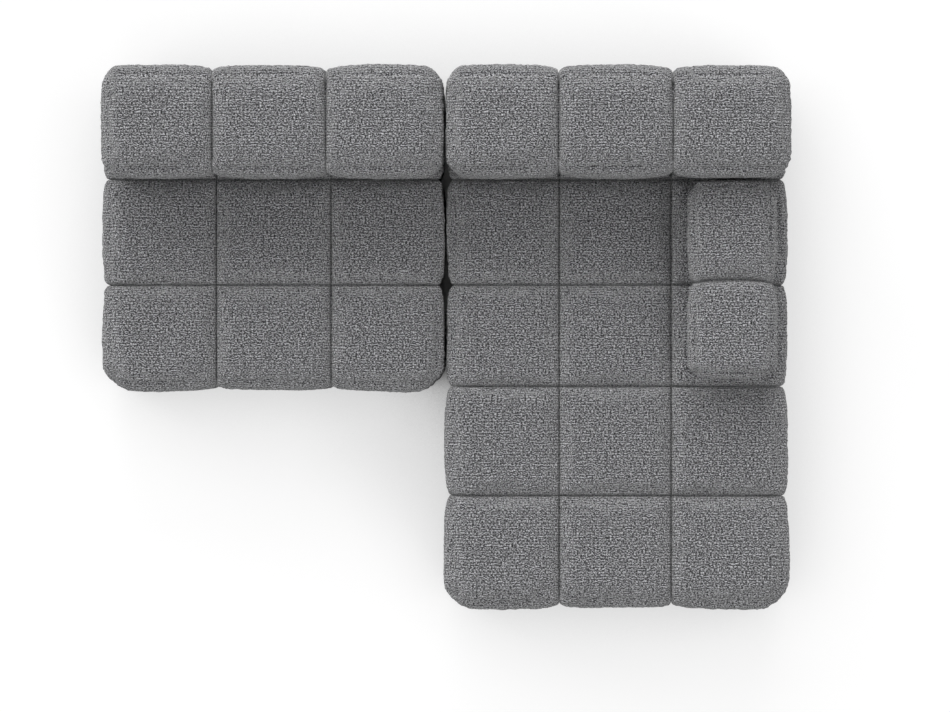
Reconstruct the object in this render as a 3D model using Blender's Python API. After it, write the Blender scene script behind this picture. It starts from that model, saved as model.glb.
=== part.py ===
"""L-shaped modular sofa: a chaise module and a loveseat module, two back bolsters and an arm bolster.

Each module is a timber frame on four feet, with webbing, a foam core and a quilted cover that is tufted
into square blocks. The bolsters stand on flat steel prongs that drop into sockets inside the modules.
The loveseat pushes onto the chaise with two tongues and two jaws under the frames.

Metres, +X right, +Y to the rear, +Z up. The origin is on the floor, under the middle of the sofa.
"""
import bpy
import bmesh
import numpy as np
from math import pi, radians

for old_object in list(bpy.data.objects):
    bpy.data.objects.remove(old_object, do_unlink=True)

# Tufted blocks, seen from above: columns from left to right, rows from the rear to the front
LOVESEAT_OUTER_BLOCK_WIDTH = 0.3435
LOVESEAT_MIDDLE_BLOCK_WIDTH = 0.3495
LOVESEAT_INNER_BLOCK_WIDTH = 0.3465
CHAISE_INNER_BLOCK_WIDTH = 0.3435
CHAISE_MIDDLE_BLOCK_WIDTH = 0.3410
CHAISE_OUTER_BLOCK_WIDTH = 0.3555
MODULE_GAP = 0.005
REAR_ROW_DEPTH = 0.335
SECOND_ROW_DEPTH = 0.322
THIRD_ROW_DEPTH = 0.308
FOURTH_ROW_DEPTH = 0.333
FIFTH_ROW_DEPTH = 0.344
LOVESEAT_FRONT_ROW_DEPTH = 0.328

# Heights
FOOT_HEIGHT = 0.045
SEAT_HEIGHT = 0.430
BACK_HEIGHT = 0.290
ARM_HEIGHT = 0.165

# Arm bolster, in plan
ARM_WIDTH = 0.278
ARM_EDGE_INSET = 0.034
ARM_REAR_BLOCK_LENGTH = 0.305
ARM_FRONT_BLOCK_LENGTH = 0.313
ARM_TO_BACK_GAP = 0.005

# Clearance between pieces that touch, and how far a cutter runs past what it cuts
TOUCH_GAP = 0.0003
OVERRUN = 0.010

# Form of the quilted covers
EDGE_REACH = 0.080
SEAT_EDGE_DROP = 0.050
BACK_EDGE_DROP = 0.062
BOLSTER_LOWER_DROP = 0.030
ARM_EDGE_REACH = 0.056
SHOULDER_WIDTH = 0.070
TUFT_DEPTH = 0.034
SIDE_TUFT_DEPTH = 0.018
CROSSING_PINCH = 0.008
CROWN = 0.010
BACK_ROLL = 0.022
QUILT_FLOOR = 0.010
QUILT_WALL = 0.012
LINE_SHARES = (0.55, 0.85)
ROUNDING_LINE_SHARE = 0.32

# Timber frame
RAIL_THICKNESS = 0.030
RAIL_HEIGHT = 0.150
BEARER_HEIGHT = 0.100
BEARER_REAR_INSET = 0.135
RAIL_EDGE = 0.003
DUST_COVER_THICKNESS = 0.0015

# Webbing
STRAP_WIDTH = 0.080
STRAP_THICKNESS = 0.003
STRAP_TO_SEAM = 0.060

# Feet
FOOT_RADIUS = 0.032
FOOT_TAPER = 0.006
FOOT_EDGE = 0.003
FOOT_SIDES = 20
FOOT_EDGE_PROFILE_SHARE = 0.5

# Bolster boards, prongs and sockets
BOARD_THICKNESS = 0.018
BOARD_MARGIN = 0.012
PRONG_WIDTH = 0.050
PRONG_THICKNESS = 0.006
PRONG_LEG = 0.060
PRONG_INTO_SOCKET = 0.190
SOCKET_LENGTH = 0.215
SOCKET_WALL = 0.002
SOCKET_CLEARANCE = 0.0010
SLIT_CLEARANCE = 0.002

# Connectors between the modules
CONNECTOR_END_INSET = 0.220
TONGUE_WIDTH = 0.050
TONGUE_THICKNESS = 0.004
TONGUE_CLEARANCE = 0.0004
JAW_WALL = 0.004
JAW_LENGTH = 0.056
JAW_WIDTH = 0.064

# Plan lines worked out from the blocks
LOVESEAT_COLUMNS = (LOVESEAT_OUTER_BLOCK_WIDTH, LOVESEAT_MIDDLE_BLOCK_WIDTH, LOVESEAT_INNER_BLOCK_WIDTH)
CHAISE_COLUMNS = (CHAISE_INNER_BLOCK_WIDTH, CHAISE_MIDDLE_BLOCK_WIDTH, CHAISE_OUTER_BLOCK_WIDTH)
CHAISE_ROWS = (FIFTH_ROW_DEPTH, FOURTH_ROW_DEPTH, THIRD_ROW_DEPTH, SECOND_ROW_DEPTH, REAR_ROW_DEPTH)
LOVESEAT_ROWS = (LOVESEAT_FRONT_ROW_DEPTH, SECOND_ROW_DEPTH, REAR_ROW_DEPTH)
LOVESEAT_WIDTH = sum(LOVESEAT_COLUMNS)
CHAISE_WIDTH = sum(CHAISE_COLUMNS)
SOFA_WIDTH = LOVESEAT_WIDTH + MODULE_GAP + CHAISE_WIDTH
SOFA_DEPTH = sum(CHAISE_ROWS)
LEFT = -SOFA_WIDTH / 2
RIGHT = SOFA_WIDTH / 2
FRONT = -SOFA_DEPTH / 2
REAR = SOFA_DEPTH / 2
CHAISE_LEFT = RIGHT - CHAISE_WIDTH
LOVESEAT_FRONT = REAR - sum(LOVESEAT_ROWS)
BACK_FRONT = REAR - REAR_ROW_DEPTH

# Levels of the stack, from the floor up
DUST_COVER_BASE = FOOT_HEIGHT + TOUCH_GAP
FRAME_BASE = DUST_COVER_BASE + DUST_COVER_THICKNESS + TOUCH_GAP
FRAME_TOP = FRAME_BASE + RAIL_HEIGHT
STRAP_BASE = FRAME_TOP + TOUCH_GAP
FOAM_BASE = STRAP_BASE + STRAP_THICKNESS + TOUCH_GAP
SEAT_QUILT = TUFT_DEPTH + CROSSING_PINCH + CROWN + QUILT_FLOOR
SEAT_CAVITY_TOP = SEAT_HEIGHT - SEAT_QUILT
BOLSTER_BASE = SEAT_HEIGHT + TOUCH_GAP
BOARD_TOP = BOLSTER_BASE + BOARD_THICKNESS
SOCKET_TOP = SEAT_CAVITY_TOP - TOUCH_GAP
FRAME_INSET = SIDE_TUFT_DEPTH + CROWN + QUILT_WALL
SOCKET_OUTER_MARGIN = SOCKET_CLEARANCE + SOCKET_WALL


def material(name, colour, roughness, metallic=0.0):
    """A plain Principled material."""
    made = bpy.data.materials.new(name)
    made.use_nodes = True
    shader = made.node_tree.nodes["Principled BSDF"]
    shader.inputs["Base Color"].default_value = (*colour, 1.0)
    shader.inputs["Roughness"].default_value = roughness
    shader.inputs["Metallic"].default_value = metallic
    made.diffuse_color = (*colour, 1.0)
    return made


CLOTH = material("grey_woven_cloth", (0.180, 0.180, 0.184), 0.95)
FOAM = material("upholstery_foam", (0.780, 0.720, 0.520), 0.95)
TIMBER = material("pine_timber", (0.560, 0.400, 0.230), 0.70)
BOARD = material("birch_board", (0.600, 0.450, 0.280), 0.65)
WEBBING = material("elastic_webbing", (0.060, 0.055, 0.050), 0.90)
LINING = material("black_lining", (0.020, 0.020, 0.022), 0.95)
PLASTIC = material("black_plastic", (0.025, 0.025, 0.027), 0.45)
STEEL = material("zinc_plated_steel", (0.560, 0.560, 0.550), 0.35, 1.0)


def joint_frame(name, location):
    """An empty on the axis of a joint, which carries the pieces that move with it."""
    frame = bpy.data.objects.new(name, None)
    frame.location = location
    bpy.context.collection.objects.link(frame)
    return frame


def add_object(name, mesh, location, finish, carrier=None):
    """Puts a mesh in the scene at a world location, under the joint frame that carries it."""
    piece = bpy.data.objects.new(name, mesh)
    bpy.context.collection.objects.link(piece)
    mesh.materials.append(finish)
    origin = carrier.location if carrier else (0, 0, 0)
    piece.parent = carrier
    piece.location = [place - start for place, start in zip(location, origin)]
    return piece


def box_mesh(name, size):
    """A box of the given size, centred on its origin."""
    mesh = bpy.data.meshes.new(name)
    shape = bmesh.new()
    bmesh.ops.create_cube(shape, size=1)
    bmesh.ops.scale(shape, vec=size, verts=shape.verts)
    shape.to_mesh(mesh)
    shape.free()
    return mesh


def box(name, low, high, finish, carrier=None, edge=0):
    """A box between two corners, with a small chamfer where an edge width is given."""
    size = [top - bottom for bottom, top in zip(low, high)]
    centre = [(top + bottom) / 2 for bottom, top in zip(low, high)]
    piece = add_object(name, box_mesh(name, size), centre, finish, carrier)
    if edge:
        chamfer = piece.modifiers.new("chamfered_edges", "BEVEL")
        chamfer.width = edge
        chamfer.segments = 1
    return piece


def cut(piece, cutter):
    """Takes a cutter's shape out of a piece and marks the cutter as a tool."""
    opening = piece.modifiers.new("cut_" + cutter.name, "BOOLEAN")
    opening.operation = "DIFFERENCE"
    opening.solver = "EXACT"
    opening.object = cutter
    cutter.hide_render = True
    cutter.display_type = "WIRE"


def extruded(name, outline, width, location, finish, turn=0, carrier=None):
    """An outline in the XZ plane, drawn out along Y by a width about its middle, then turned about Z."""
    mesh = bpy.data.meshes.new(name)
    shape = bmesh.new()
    ring = [shape.verts.new((x, -width / 2, z)) for x, z in outline]
    face = shape.faces.new(ring)
    drawn = bmesh.ops.extrude_face_region(shape, geom=[face])
    moved = [part for part in drawn["geom"] if isinstance(part, bmesh.types.BMVert)]
    bmesh.ops.translate(shape, vec=(0, width, 0), verts=moved)
    bmesh.ops.recalc_face_normals(shape, faces=shape.faces)
    shape.to_mesh(mesh)
    shape.free()
    piece = add_object(name, mesh, location, finish, carrier)
    piece.rotation_euler.z = turn
    return piece


def block_edges(start, sizes):
    """The edges of a row of blocks."""
    return start + np.concatenate([[0], np.cumsum(sizes)])


def grid_lines(edges):
    """Lines across a row of blocks: each edge, each middle, and lines at shares of each half block."""
    shares = sorted([-share for share in LINE_SHARES] + [0] + list(LINE_SHARES))
    lines = [edges[0]]
    for low, high in zip(edges[:-1], edges[1:]):
        middle, half = (low + high) / 2, (high - low) / 2
        lines += [middle + half * share for share in shares]
        lines.append(high)
    return np.array(lines)


def level_lines(low, high, drop, lower_drop):
    """Levels up a cover's side: its foot, its middle, and the start and inside of each rounding."""
    middle = (low + high) / 2
    above = [high - drop, high - drop * ROUNDING_LINE_SHARE, high]
    if lower_drop:
        below = [low, low + lower_drop * ROUNDING_LINE_SHARE, low + lower_drop]
    else:
        below = [low, (low + middle) / 2]
    return np.array(below + [middle] + above)


def box_surface(xs, ys, zs, plain_base):
    """Points and faces of a closed box over grid lines. A plain base is one face."""
    index = {}
    points = []

    def corner(i, j, k):
        if (i, j, k) not in index:
            index[i, j, k] = len(points)
            points.append((xs[i], ys[j], zs[k]))
        return index[i, j, k]

    last_i, last_j, last_k = len(xs) - 1, len(ys) - 1, len(zs) - 1
    faces = []
    for i in range(last_i):
        for j in range(last_j):
            top = [corner(a, b, last_k) for a, b in ((i, j), (i + 1, j), (i + 1, j + 1), (i, j + 1))]
            faces.append(top)
            if not plain_base:
                base = [corner(a, b, 0) for a, b in ((i, j), (i, j + 1), (i + 1, j + 1), (i + 1, j))]
                faces.append(base)
    for k in range(last_k):
        for i in range(last_i):
            front_face = ((i, k), (i + 1, k), (i + 1, k + 1), (i, k + 1))
            faces.append([corner(a, 0, c) for a, c in front_face])
            rear_face = ((i, k), (i, k + 1), (i + 1, k + 1), (i + 1, k))
            faces.append([corner(a, last_j, c) for a, c in rear_face])
        for j in range(last_j):
            left_face = ((j, k), (j, k + 1), (j + 1, k + 1), (j + 1, k))
            faces.append([corner(0, b, c) for b, c in left_face])
            right_face = ((j, k), (j + 1, k), (j + 1, k + 1), (j, k + 1))
            faces.append([corner(last_i, b, c) for b, c in right_face])
    if plain_base:
        front = [(i, 0) for i in range(last_i)]
        right = [(last_i, j) for j in range(last_j)]
        rear = [(i, last_j) for i in range(last_i, 0, -1)]
        left = [(0, j) for j in range(last_j, 0, -1)]
        around = front + right + rear + left
        faces.append([corner(i, j, 0) for i, j in reversed(around)])
    return np.array(points), faces


def place_in_block(values, edges):
    """Where a value lies across its block, from -1 at one edge to 1 at the other."""
    block = np.clip(np.searchsorted(edges, values, side="right") - 1, 0, len(edges) - 2)
    low, high = edges[block], edges[block + 1]
    return (2 * values - low - high) / (high - low)


def near_seam(values, edges):
    """1 on a seam between two blocks, falling to 0 over the round shoulder beside it."""
    inner = edges[1:-1]
    if len(inner) == 0:
        return np.zeros_like(values)
    distance = np.abs(values[:, None] - inner[None, :]).min(axis=1)
    across = np.clip(distance / SHOULDER_WIDTH, 0, 1)
    return 1 - np.sqrt(1 - (1 - across) ** 2)


def quilted_points(points, x_edges, y_edges, low_z, high_z, reach, drop, lower_drop, roll):
    """Turns a box's points into a puffed cover.

    The box's edges become elliptical roundings: reach across and drop down. Each point then sinks along
    its own outward direction: a little away from the middle of its block, the crown, and deeply at the
    seams between blocks, the tufting. The middle of each block's face stays on the box, so the cover
    fills the box exactly. The base stays flat.
    """
    low = np.array([x_edges[0] + reach, y_edges[0] + reach, low_z + lower_drop])
    high = np.array([x_edges[-1] - reach, y_edges[-1] - reach, high_z - drop])
    nearest = np.clip(points, low, high)
    radii = np.full(points.shape, reach)
    radii[:, 2] = np.where(points[:, 2] < nearest[:, 2], lower_drop, drop)
    offset = (points - nearest) / radii
    length = np.linalg.norm(offset, axis=1, keepdims=True)
    widest = np.abs(offset).max(axis=1, keepdims=True)
    rounded = nearest + offset * radii * widest / length
    outward = offset / radii
    outward /= np.linalg.norm(outward, axis=1, keepdims=True)

    across_x = place_in_block(points[:, 0], x_edges)
    across_y = place_in_block(points[:, 1], y_edges)
    up = place_in_block(points[:, 2], np.array([low_z, high_z]))
    dome_x, dome_y, dome_z = 1 - across_x ** 2, 1 - across_y ** 2, 1 - up ** 2
    facing = outward ** 2
    fall = facing[:, 0] * (1 - dome_y * dome_z) + facing[:, 1] * (1 - dome_x * dome_z)
    fall += facing[:, 2] * (1 - dome_x * dome_y)
    seam_x = near_seam(points[:, 0], x_edges)
    seam_y = near_seam(points[:, 1], y_edges)
    seam = seam_x + seam_y - seam_x * seam_y
    depth = SIDE_TUFT_DEPTH + (TUFT_DEPTH - SIDE_TUFT_DEPTH) * facing[:, 2]
    whole_y = place_in_block(points[:, 1], y_edges[[0, -1]])
    sink = CROWN * fall + depth * seam + CROSSING_PINCH * seam_x * seam_y * facing[:, 2]
    sink += roll * facing[:, 2] * whole_y ** 2
    sink *= 1 - np.clip(-outward[:, 2], 0, 1)
    return rounded - outward * sink[:, None]


def quilted_cover(name, x_edges, y_edges, low_z, high_z, reach, drop, lower_drop=0, roll=0, carrier=None):
    """A tufted cover with its wadding, still solid: its cavity is cut afterwards."""
    xs, ys = grid_lines(x_edges), grid_lines(y_edges)
    zs = level_lines(low_z, high_z, drop, lower_drop)
    points, faces = box_surface(xs, ys, zs, plain_base=not lower_drop)
    points = quilted_points(points, x_edges, y_edges, low_z, high_z, reach, drop, lower_drop, roll)
    origin = np.array([x_edges[[0, -1]].mean(), y_edges[[0, -1]].mean(), low_z])
    mesh = bpy.data.meshes.new(name)
    mesh.from_pydata((points - origin).tolist(), [], faces)
    mesh.shade_smooth()
    mesh.set_sharp_from_angle(angle=radians(50))
    return add_object(name, mesh, origin.tolist(), CLOTH, carrier)


def bent_strip_outline(length, leg, thickness, grow=0):
    """An L of flat steel: a long leg down from the corner and a short leg to the right along the top."""
    return [
        (-grow, -length - grow),
        (thickness + grow, -length - grow),
        (thickness + grow, -thickness - grow),
        (leg + grow, -thickness - grow),
        (leg + grow, grow),
        (-grow, grow),
    ]


def prong(name, location, turn, carrier):
    """A bent steel strip whose short leg lies in the bolster's board and whose long leg is the prong."""
    length = BOARD_TOP - (SOCKET_TOP - PRONG_INTO_SOCKET)
    outline = bent_strip_outline(length, PRONG_LEG, PRONG_THICKNESS)
    return extruded(name, outline, PRONG_WIDTH, location, STEEL, turn, carrier)


def prong_cutter(name, location, turn):
    """The pocket and slot that a prong needs in its board."""
    outline = bent_strip_outline(BOARD_THICKNESS + OVERRUN, PRONG_LEG, PRONG_THICKNESS, TOUCH_GAP)
    return extruded(name, outline, PRONG_WIDTH + 2 * TOUCH_GAP, location, STEEL, turn)


def slot_box(name, location, turn, margin, low_z, high_z, carrier=None):
    """An upright block that follows a prong's section, with a margin all round."""
    outline = [
        (-margin, low_z - location[2]),
        (PRONG_THICKNESS + margin, low_z - location[2]),
        (PRONG_THICKNESS + margin, high_z - location[2]),
        (-margin, high_z - location[2]),
    ]
    return extruded(name, outline, PRONG_WIDTH + 2 * margin, location, STEEL, turn, carrier)


def socket(name, location, turn, carrier=None):
    """A steel tube of rectangular section, open at both ends, that takes a prong."""
    base = SOCKET_TOP - SOCKET_LENGTH
    tube = slot_box(name, location, turn, SOCKET_OUTER_MARGIN, base, SOCKET_TOP, carrier)
    bore_name = name + "_bore_tool"
    cut(tube, slot_box(bore_name, location, turn, SOCKET_CLEARANCE, base - OVERRUN, SOCKET_TOP + OVERRUN))


def foot(name, x, y, carrier=None):
    """A turned plastic foot that narrows to the floor."""
    mesh = bpy.data.meshes.new(name)
    shape = bmesh.new()
    bmesh.ops.create_cone(
        shape,
        cap_ends=True,
        segments=FOOT_SIDES,
        radius1=FOOT_RADIUS - FOOT_TAPER,
        radius2=FOOT_RADIUS,
        depth=FOOT_HEIGHT,
    )
    shape.normal_update()
    sole = next(face for face in shape.faces if face.normal.z < 0 and len(face.verts) == FOOT_SIDES)
    bmesh.ops.bevel(
        shape,
        geom=list(sole.edges),
        offset=FOOT_EDGE,
        segments=2,
        profile=FOOT_EDGE_PROFILE_SHARE,
        affect="EDGES",
    )
    shape.to_mesh(mesh)
    shape.free()
    mesh.shade_smooth()
    mesh.set_sharp_from_angle(angle=radians(35))
    return add_object(name, mesh, (x, y, FOOT_HEIGHT / 2), PLASTIC, carrier)


def platform(prefix, x_edges, y_edges, carrier=None):
    """The seat of a module: feet, lining, four rails, a bearer, straps, foam and the quilted cover."""
    left, right = x_edges[0] + FRAME_INSET, x_edges[-1] - FRAME_INSET
    front, rear = y_edges[0] + FRAME_INSET, y_edges[-1] - FRAME_INSET
    inner_left, inner_right = left + RAIL_THICKNESS + TOUCH_GAP, right - RAIL_THICKNESS - TOUCH_GAP

    foot_inset = RAIL_THICKNESS / 2
    for side, x in (("left", left + foot_inset), ("right", right - foot_inset)):
        for end, y in (("front", front + foot_inset), ("rear", rear - foot_inset)):
            foot(f"{prefix}_foot_{end}_{side}", x, y, carrier)

    lining_top = DUST_COVER_BASE + DUST_COVER_THICKNESS
    box(f"{prefix}_dust_cover", (left, front, DUST_COVER_BASE), (right, rear, lining_top), LINING, carrier)

    rail_plans = {
        "rail_left": (left, front, left + RAIL_THICKNESS, rear),
        "rail_right": (right - RAIL_THICKNESS, front, right, rear),
        "rail_front": (inner_left, front, inner_right, front + RAIL_THICKNESS),
        "rail_rear": (inner_left, rear - RAIL_THICKNESS, inner_right, rear),
    }
    for rail, (x0, y0, x1, y1) in rail_plans.items():
        box(f"{prefix}_{rail}", (x0, y0, FRAME_BASE), (x1, y1, FRAME_TOP), TIMBER, carrier, RAIL_EDGE)

    bearer_rear = y_edges[-1] - BEARER_REAR_INSET
    box(
        f"{prefix}_back_bearer",
        (inner_left, bearer_rear - RAIL_THICKNESS, FRAME_TOP - BEARER_HEIGHT),
        (inner_right, bearer_rear, FRAME_TOP),
        TIMBER,
        carrier,
        RAIL_EDGE,
    )

    foam = box(
        f"{prefix}_seat_foam",
        (left, front, FOAM_BASE),
        (right, rear, SEAT_CAVITY_TOP - TOUCH_GAP),
        FOAM,
        carrier,
    )
    cover = quilted_cover(
        f"{prefix}_seat_cover",
        x_edges,
        y_edges,
        FRAME_BASE,
        SEAT_HEIGHT,
        EDGE_REACH,
        SEAT_EDGE_DROP,
        carrier=carrier,
    )
    cavity = box(
        f"{prefix}_seat_cavity_tool",
        (left - TOUCH_GAP, front - TOUCH_GAP, FRAME_BASE - OVERRUN),
        (right + TOUCH_GAP, rear + TOUCH_GAP, SEAT_CAVITY_TOP),
        CLOTH,
    )
    cut(cover, cavity)
    return foam, cover


def straps(prefix, places, y_edges, carrier=None):
    """Webbing straps that run from the rear rail to the front rail, over the bearers between."""
    front, rear = y_edges[0] + FRAME_INSET, y_edges[-1] - FRAME_INSET
    for number, x in enumerate(places, 1):
        low = (x - STRAP_WIDTH / 2, front, STRAP_BASE)
        high = (x + STRAP_WIDTH / 2, rear, STRAP_BASE + STRAP_THICKNESS)
        box(f"{prefix}_strap_{number}", low, high, WEBBING, carrier)


def socket_set(bolster, places, turn, foam, cover, board, fixed_to, moves_with):
    """Sockets in a module with the prongs of a bolster above them, and every hole that they need."""
    for side, (x, y) in places.items():
        name = f"{bolster}_{side}"
        at = (x, y, BOARD_TOP)
        socket(f"{bolster}_socket_{side}", at, turn, fixed_to)
        prong(f"{bolster}_prong_{side}", at, turn, moves_with)
        cut(board, prong_cutter(f"{name}_pocket_tool", at, turn))
        foam_margin = SOCKET_OUTER_MARGIN + SLIT_CLEARANCE
        foam_hole = slot_box(f"{name}_foam_tool", at, turn, foam_margin, FOAM_BASE - OVERRUN, SEAT_HEIGHT)
        cut(foam, foam_hole)
        slit_base = SEAT_CAVITY_TOP - OVERRUN
        slit = slot_box(f"{name}_slit_tool", at, turn, SLIT_CLEARANCE, slit_base, SEAT_HEIGHT + OVERRUN)
        cut(cover, slit)


def bolster(prefix, x_edges, y_edges, height, reach, drop, roll, carrier):
    """A tufted bolster: a board in its base, a foam core on the board and a quilted cover around both."""
    margin = reach + BOARD_MARGIN
    left, right = x_edges[0] + margin, x_edges[-1] - margin
    front, rear = y_edges[0] + margin, y_edges[-1] - margin
    top = BOLSTER_BASE + height
    cavity_top = top - SEAT_QUILT - roll
    board = box(f"{prefix}_board", (left, front, BOLSTER_BASE), (right, rear, BOARD_TOP), BOARD, carrier)
    core_low = (left, front, BOARD_TOP + TOUCH_GAP)
    box(f"{prefix}_foam", core_low, (right, rear, cavity_top - TOUCH_GAP), FOAM, carrier)
    cover = quilted_cover(
        f"{prefix}_cover",
        x_edges,
        y_edges,
        BOLSTER_BASE,
        top,
        reach,
        drop,
        BOLSTER_LOWER_DROP,
        roll,
        carrier,
    )
    cavity = box(
        f"{prefix}_cavity_tool",
        (left - TOUCH_GAP, front - TOUCH_GAP, BOLSTER_BASE - OVERRUN),
        (right + TOUCH_GAP, rear + TOUCH_GAP, cavity_top),
        CLOTH,
    )
    cut(cover, cavity)
    return board


# Chaise module, which carries everything else
chaise_x = block_edges(CHAISE_LEFT, CHAISE_COLUMNS)
chaise_y = block_edges(FRONT, CHAISE_ROWS)
chaise_foam, chaise_cover = platform("chaise", chaise_x, chaise_y)

bearer_front = REAR - BEARER_REAR_INSET - RAIL_THICKNESS
cross_rail_middle = chaise_y[2]
cross_rail_rear = cross_rail_middle + RAIL_THICKNESS / 2
cross_left = CHAISE_LEFT + FRAME_INSET + RAIL_THICKNESS + TOUCH_GAP
cross_right = RIGHT - FRAME_INSET - RAIL_THICKNESS - TOUCH_GAP
box(
    "chaise_cross_rail",
    (cross_left, cross_rail_rear - RAIL_THICKNESS, FRAME_TOP - BEARER_HEIGHT),
    (cross_right, cross_rail_rear, FRAME_TOP),
    TIMBER,
    edge=RAIL_EDGE,
)
arm_right = RIGHT - ARM_EDGE_INSET
arm_left = arm_right - ARM_WIDTH
arm_middle = (arm_left + arm_right) / 2
back_socket_right = chaise_x[-2:].mean() + PRONG_WIDTH / 2 + SOCKET_OUTER_MARGIN
arm_bearer_left = back_socket_right + SLIT_CLEARANCE
box(
    "chaise_arm_bearer",
    (arm_bearer_left, cross_rail_rear + TOUCH_GAP, FRAME_TOP - BEARER_HEIGHT),
    (arm_bearer_left + RAIL_THICKNESS, bearer_front - TOUCH_GAP, FRAME_TOP),
    TIMBER,
    edge=RAIL_EDGE,
)

# Loveseat module, which pushes onto the chaise's left side
loveseat_slide = joint_frame("loveseat_slide", (CHAISE_LEFT, (LOVESEAT_FRONT + REAR) / 2, FOOT_HEIGHT))
loveseat_x = block_edges(LEFT, LOVESEAT_COLUMNS)
loveseat_y = block_edges(LOVESEAT_FRONT, LOVESEAT_ROWS)
loveseat_foam, loveseat_cover = platform("loveseat", loveseat_x, loveseat_y, loveseat_slide)


def strap_places(x_edges):
    """A strap on each side of each seam, clear of the sockets under the middles of the outer blocks."""
    return [seam + side for seam in x_edges[1:-1] for side in (-STRAP_TO_SEAM, STRAP_TO_SEAM)]


straps("chaise", strap_places(chaise_x), chaise_y)
straps("loveseat", strap_places(loveseat_x), loveseat_y, loveseat_slide)


def outer_block_middles(x_edges):
    """The middles of the first and the last block of a row."""
    return {"left": x_edges[:2].mean(), "right": x_edges[-2:].mean()}


# Back bolsters: the prongs stand just in front of the bearers, with the sockets against its front face
prong_y = bearer_front - TOUCH_GAP - SOCKET_OUTER_MARGIN
back_edges = np.array([BACK_FRONT, REAR])
for body, x_edges, foam, cover, fixed_to in (
    ("chaise", chaise_x, chaise_foam, chaise_cover, None),
    ("loveseat", loveseat_x, loveseat_foam, loveseat_cover, loveseat_slide),
):
    middle_x = x_edges[[0, -1]].mean()
    lift = joint_frame(f"{body}_back_lift", (middle_x, prong_y, BOLSTER_BASE))
    name = f"{body}_back"
    board = bolster(name, x_edges, back_edges, BACK_HEIGHT, EDGE_REACH, BACK_EDGE_DROP, BACK_ROLL, lift)
    places = {side: (x, prong_y) for side, x in outer_block_middles(x_edges).items()}
    socket_set(name, places, -pi / 2, foam, cover, board, fixed_to, lift)

# Arm bolster, over the right column of the chaise
arm_rear = BACK_FRONT - ARM_TO_BACK_GAP
arm_blocks = (ARM_FRONT_BLOCK_LENGTH, ARM_REAR_BLOCK_LENGTH)
arm_y = block_edges(arm_rear - sum(arm_blocks), arm_blocks)
arm_x = np.array([arm_left, arm_right])
arm_lift = joint_frame("arm_lift", (arm_middle, arm_y[1], BOLSTER_BASE))
arm_board = bolster("arm", arm_x, arm_y, ARM_HEIGHT, ARM_EDGE_REACH, SEAT_EDGE_DROP, 0, arm_lift)
arm_prong_x = arm_bearer_left - TOUCH_GAP - SOCKET_OUTER_MARGIN
arm_places = {
    "front": (arm_prong_x, arm_y[:2].mean()),
    "rear": (arm_prong_x, arm_y[1:].mean()),
}
socket_set("arm", arm_places, pi, chaise_foam, chaise_cover, arm_board, None, arm_lift)

# Connectors: a tongue under the loveseat's right rail drops a step and enters a jaw under the chaise's rail
jaw_mouth = CHAISE_LEFT + FRAME_INSET
rail_to_rail = 2 * FRAME_INSET + MODULE_GAP
slot_height = TONGUE_THICKNESS + 2 * TONGUE_CLEARANCE
step = JAW_WALL + TONGUE_CLEARANCE
jaw_outline = [
    (0, 0),
    (JAW_LENGTH, 0),
    (JAW_LENGTH, -2 * JAW_WALL - slot_height),
    (0, -2 * JAW_WALL - slot_height),
    (0, -JAW_WALL - slot_height),
    (JAW_LENGTH - JAW_WALL, -JAW_WALL - slot_height),
    (JAW_LENGTH - JAW_WALL, -JAW_WALL),
    (0, -JAW_WALL),
]
bend_start = -rail_to_rail / 2
tongue_reach = JAW_LENGTH - JAW_WALL - TONGUE_CLEARANCE
tongue_outline = [
    (-rail_to_rail - RAIL_THICKNESS, 0),
    (bend_start, 0),
    (bend_start + step, -step),
    (tongue_reach, -step),
    (tongue_reach, -step - TONGUE_THICKNESS),
    (bend_start, -step - TONGUE_THICKNESS),
    (bend_start - step, -TONGUE_THICKNESS),
    (-rail_to_rail - RAIL_THICKNESS, -TONGUE_THICKNESS),
]
for end, y in (("front", LOVESEAT_FRONT + CONNECTOR_END_INSET), ("rear", REAR - CONNECTOR_END_INSET)):
    at = (jaw_mouth, y, FOOT_HEIGHT)
    extruded(f"chaise_jaw_{end}", jaw_outline, JAW_WIDTH, at, STEEL)
    extruded(f"loveseat_tongue_{end}", tongue_outline, TONGUE_WIDTH, at, STEEL, 0, loveseat_slide)
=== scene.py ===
"""A modular sofa of grey woven cloth: a chaise module and a loveseat module, two backs and an arm.

The file goes from the floor up, as the sofa is put together: feet, lining, frame, webbing, foam, steel,
boards, the tufted seat covers, the tufted bolsters, and last the studio around it.
Metres, +X right, +Y to the rear, +Z up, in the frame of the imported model.
"""
from math import cos, pi, radians, sin

import bpy
import bmesh
import numpy as np
from mathutils import Matrix, Vector


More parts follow.
